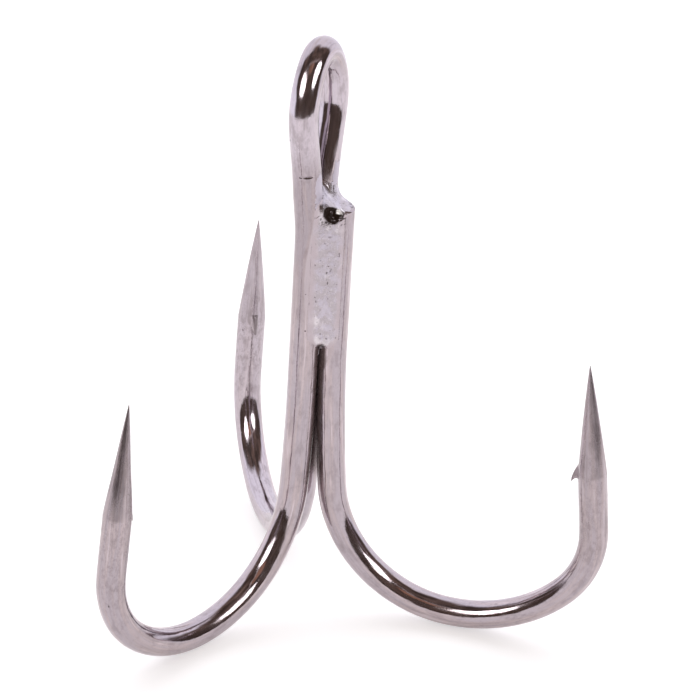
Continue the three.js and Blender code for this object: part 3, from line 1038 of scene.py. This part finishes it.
GROUND_EDGE = (6.15, 6.75)  # distance back from a tip at which the ground point ends
DARK_STREAK_LENGTH = (3.6, 6.3)
# The painted dark streak, a dark reflection painted on each ground point, lies where these two shares of
# a turn's sine and cosine add up to nearly 1.
DARK_STREAK_SIDE = 0.53
DARK_STREAK_OUTER = -0.848


def new_material(name):
    material = bpy.data.materials.new(name)
    material.use_nodes = True
    return material, Nodes(material.node_tree)


def mesh_value(n, name):
    """One of the values that a mesh holds at its vertices."""
    return n.add("Attribute", {"attribute_name": name}).outputs["Fac"]


def stretched(n, vector, scale):
    return n.add("VectorMath", {"operation": "MULTIPLY"}, {0: vector, 1: scale})


def noise(n, vector, often, detail, roughness):
    inputs = {"Vector": stretched(n, vector, often), "Scale": 1.0}
    inputs |= {"Detail": detail, "Roughness": roughness}
    return n.add("TexNoise", None, inputs)


def unevenly(n, value, unevenness, amount):
    """A value with noise added, so that an edge made from it is ragged."""
    return n.plus(value, n.times(n.math("SUBTRACT", unevenness, 0.5), amount))


def layered_tint(n, tint, layers):
    """Colours over a first one: each layer is where it shows, how strongly, and its colour."""
    for share, strength, colour in layers:
        tint = n.mix(n.times(share, strength), tint, colour)
    return tint


def layered_sum(n, total, layers):
    """Values added to a first one: each layer is a share and how much the whole of it adds."""
    for share, amount in layers:
        total = n.plus(total, n.times(share, amount))
    return total


def layered_bump(n, layers):
    """Bumps on bumps: each layer is a height from 0 to 1 and its depth in metres."""
    normal = None
    for height, depth in layers:
        inputs = {"Strength": 1.0, "Distance": depth, "Height": height}
        if normal is not None:
            inputs["Normal"] = normal
        normal = n.add("Bump", None, inputs)
    return normal


def add_surface(n, tint, rough, crust_and_shade, residue_and_shade, bumps):
    """Metal, except where it is crusted or darkened as painted shade. Brown residue, and the painted
    shade in the hollow, also lose most of their shine.
    """
    inputs = {
        "Base Color": tint,
        "Metallic": n.math("SUBTRACT", 1.0, crust_and_shade),
        "Specular Tint": n.mix(residue_and_shade, WHITE, STAIN_SHEEN),
        "Specular IOR Level": n.math("SUBTRACT", 0.5, n.times(residue_and_shade, 0.42)),
        "Roughness": rough,
        "Normal": layered_bump(n, bumps),
    }
    n.add("OutputMaterial", None, {"Surface": n.add("BsdfPrincipled", None, inputs)})


def plating_material():
    """Dark nickel over drawn wire: smooth, with drawing lines, specks and dull ground points."""
    material, n = new_material("plating")
    straight = n.add("Attribute", {"attribute_name": "straight"}).outputs["Vector"]
    names = ("back", "residue_and_shade", "satin", "film", "painted_shade", "scale", "glint", "painted_light", "cut")
    back, residue_and_shade, satin, film, painted_shade, scale, glint, painted_light, cut = (mesh_value(n, name) for name in names)
    streaks, lines, blotches, grain, clouds, stipple, film_edge, waves = (
        noise(n, straight, *settings) for settings in PLATING_NOISES.values()
    )
    cells = stretched(n, straight, SPECK_OFTEN)
    specks = n.add("TexVoronoi", {"feature": "F1"}, {"Vector": cells, "Scale": 1.0})
    shade = n.add("SeparateColor", None, {"Color": specks.outputs["Color"]})
    near_speck = n.ramp(specks.outputs["Distance"], 0.05, 0.09, 1.0, 0.0)
    dot = n.times(near_speck, n.ramp(shade.outputs[0], 0.72, 0.74))

    ground_edge = unevenly(n, back, blotches, 0.5)
    ground = n.ramp(ground_edge, *GROUND_EDGE, 1.0, 0.0)
    round_wire = n.add("SeparateXYZ", None, {0: straight})
    side = n.times(n.math("ABSOLUTE", round_wire.outputs[1]), DARK_STREAK_SIDE / WIRE_RADIUS)
    outer = n.times(round_wire.outputs[0], DARK_STREAK_OUTER / WIRE_RADIUS)
    # Painted reflection: a dark streak down one side of each ground point.
    dark_streak = n.times(n.ramp(n.plus(side, outer), 0.9, 0.99), n.ramp(ground_edge, *DARK_STREAK_LENGTH, 1.0, 0.0))
    dark_streak = n.times(dark_streak, n.ramp(lines, 0.3, 0.65, 0.35, 1.0))
    inner_brown_grained = n.times(scale, n.ramp(grain, 0.3, 0.75, 1.0, 0.75))
    crust_and_shade = n.math("MAXIMUM", residue_and_shade, n.times(inner_brown_grained, 0.85))
    wetted = n.ramp(unevenly(n, film, film_edge, 1.2), 0.47, 0.53)

    tint = n.mix(n.ramp(streaks, 0.4, 0.62), PLATING_COOL, PLATING_WARM)
    tint = layered_tint(n, tint, [
        # painted light on the top of the eye and the rear side
        (painted_light, 0.8, PAINTED_LIGHT_LILAC),
        (n.ramp(lines, 0.5, 0.75), 0.3, PLATING_DARK),
        (n.ramp(grain, 0.56, 0.72), 0.35, PLATING_DARK),
        (n.ramp(clouds, 0.48, 0.66), 0.45, PLATING_DARK),
        (n.ramp(stipple, 0.47, 0.62), n.ramp(satin, 0.0, 1.0, 0.12, 0.45), PLATING_DARK),
        (n.ramp(streaks, 0.54, 0.68), 0.75, PLATING_BRIGHT),
        (ground, n.ramp(lines, 0.35, 0.65, 0.0, 0.35), GROUND_DARK),
        # painted reflection: the dark streak on the ground points
        (dark_streak, 0.8, PAINTED_DARK_STREAK),
        (cut, 0.6, GROUND_DARK),
        # painted shade on the heels and the front leg
        (painted_shade, 0.33, PLATING_DARK),
        (dot, 0.75, STAIN_AND_SHADE),
        # flux residue with painted shade in the hollow
        (residue_and_shade, 1.0, STAIN_AND_SHADE),
        # darker brown on the shanks' sides that face the common axis
        (inner_brown_grained, 1.0, INNER_BROWN),
        (wetted, 1.0, BRAZE_LILAC),
        # painted highlight: the glint in the hollow
        (glint, 1.0, PAINTED_GLINT_WHITE),
    ])
    rough = layered_sum(n, n.ramp(blotches, 0.4, 0.68, 0.07, 0.17), [
        (satin, n.ramp(clouds, 0.35, 0.65, 0.06, 0.16)),
        (n.ramp(grain, 0.5, 0.7), 0.06),
        (ground, 0.13),
        (n.math("MAXIMUM", residue_and_shade, glint), 0.3),
        (n.math("MAXIMUM", cut, scale), 0.17),
        (wetted, 0.25),
    ])
    bumps = [
        (waves, 1.6e-5),
        (lines, 2.6e-6),
        (grain, 1.6e-6),
        (n.times(stipple, satin), 6e-6),
        (n.math("SUBTRACT", 1.0, dot), 1.5e-5),
        (n.times(ground, lines), 6e-6),
        (wetted, 1.2e-5),
    ]
    add_surface(n, tint, rough, crust_and_shade, residue_and_shade, bumps)
    return material


def braze_material():
    """Plated silver alloy: bright and lumpy, with pores, brown flux stains, painted shade in the hollow
    at the cut end and a painted glint there.
    """
    material, n = new_material("braze")
    place = n.add("Attribute", {"attribute_name": "straight"}).outputs["Vector"]
    names = ("residue_and_shade", "depth", "tail", "glint")
    residue_and_shade, depth, tail, glint = (mesh_value(n, name) for name in names)
    lumpy, flecks, pores, broad, worn = (
        noise(n, place, *settings) for settings in BRAZE_NOISES.values()
    )
    pore = n.ramp(pores, 0.7, 0.76)
    solid = n.ramp(unevenly(n, depth, worn, 0.4), -0.04, 0.22)

    tint = n.mix(n.ramp(lumpy, 0.4, 0.64), BRAZE_GREY, BRAZE_LILAC)
    tint = layered_tint(n, tint, [
        (n.ramp(flecks, 0.55, 0.7), 0.45, BRAZE_BRIGHT),
        (n.ramp(n.plus(broad, n.times(tail, 0.16)), 0.52, 0.68), 0.7, BRAZE_BRIGHT),
    ])
    tint = layered_tint(n, n.mix(solid, BRAZE_THIN, tint), [
        (pore, 0.6, STAIN_AND_SHADE),
        # flux stains, with painted shade in the hollow at the cut end
        (residue_and_shade, n.ramp(flecks, 0.3, 0.6, 0.94, 1.0), STAIN_AND_SHADE),
        # painted highlight: the glint in the hollow
        (glint, 1.0, PAINTED_GLINT_WHITE),
    ])
    rough = n.plus(n.times(solid, n.ramp(lumpy, 0.35, 0.65, 0.08, 0.2)), 0.13)
    rough = n.plus(rough, n.times(n.math("MAXIMUM", residue_and_shade, glint), 0.2))
    bumps = [
        (n.times(lumpy, solid), 1.8e-5),
        (n.times(flecks, solid), 4e-6),
        (n.math("SUBTRACT", 1.0, n.times(pore, solid)), 1.2e-5),
    ]
    add_surface(n, tint, rough, residue_and_shade, residue_and_shade, bumps)
    return material


plating = plating_material()
braze = braze_material()
for piece in (double_wire, single_wire):
    piece.data.materials.append(plating)
for piece in (seam_front, seam_rear, seam_left, braze_cap):
    piece.data.materials.append(braze)

# ------------------------------------------------------------------ camera

CAMERA_PLACE = (43.93, -187.58, 116.45)  # in millimetres in the row frame, as the target is
CAMERA_TARGET = (-2.61, 0.44, 15.56)
CAMERA_ROLL = 3.3475
CAMERA_LENS = 208.68
SENSOR_WIDTH = 36.0
CLIP_START = 0.001
CLIP_END = 100.0


def add_camera():
    """Looks down at the hook from the front, a little turned about the line of sight."""
    eye = Vector(CAMERA_PLACE) * MM
    target = Vector(CAMERA_TARGET) * MM
    back = (eye - target).normalized()
    right = Vector((0, 0, 1)).cross(back).normalized()
    up = back.cross(right)
    roll = math.radians(CAMERA_ROLL)
    x_axis = right * math.cos(roll) + up * math.sin(roll)
    y_axis = up * math.cos(roll) - right * math.sin(roll)
    data = bpy.data.cameras.new("camera")
    data.lens = CAMERA_LENS
    data.sensor_width = SENSOR_WIDTH
    data.clip_start = CLIP_START
    data.clip_end = CLIP_END
    camera = bpy.data.objects.new("camera", data)
    camera.matrix_world = Matrix((
        (x_axis.x, y_axis.x, back.x, eye.x),
        (x_axis.y, y_axis.y, back.y, eye.y),
        (x_axis.z, y_axis.z, back.z, eye.z),
        (0, 0, 0, 1),
    ))
    bpy.context.scene.collection.objects.link(camera)
    bpy.context.scene.camera = camera


add_camera()
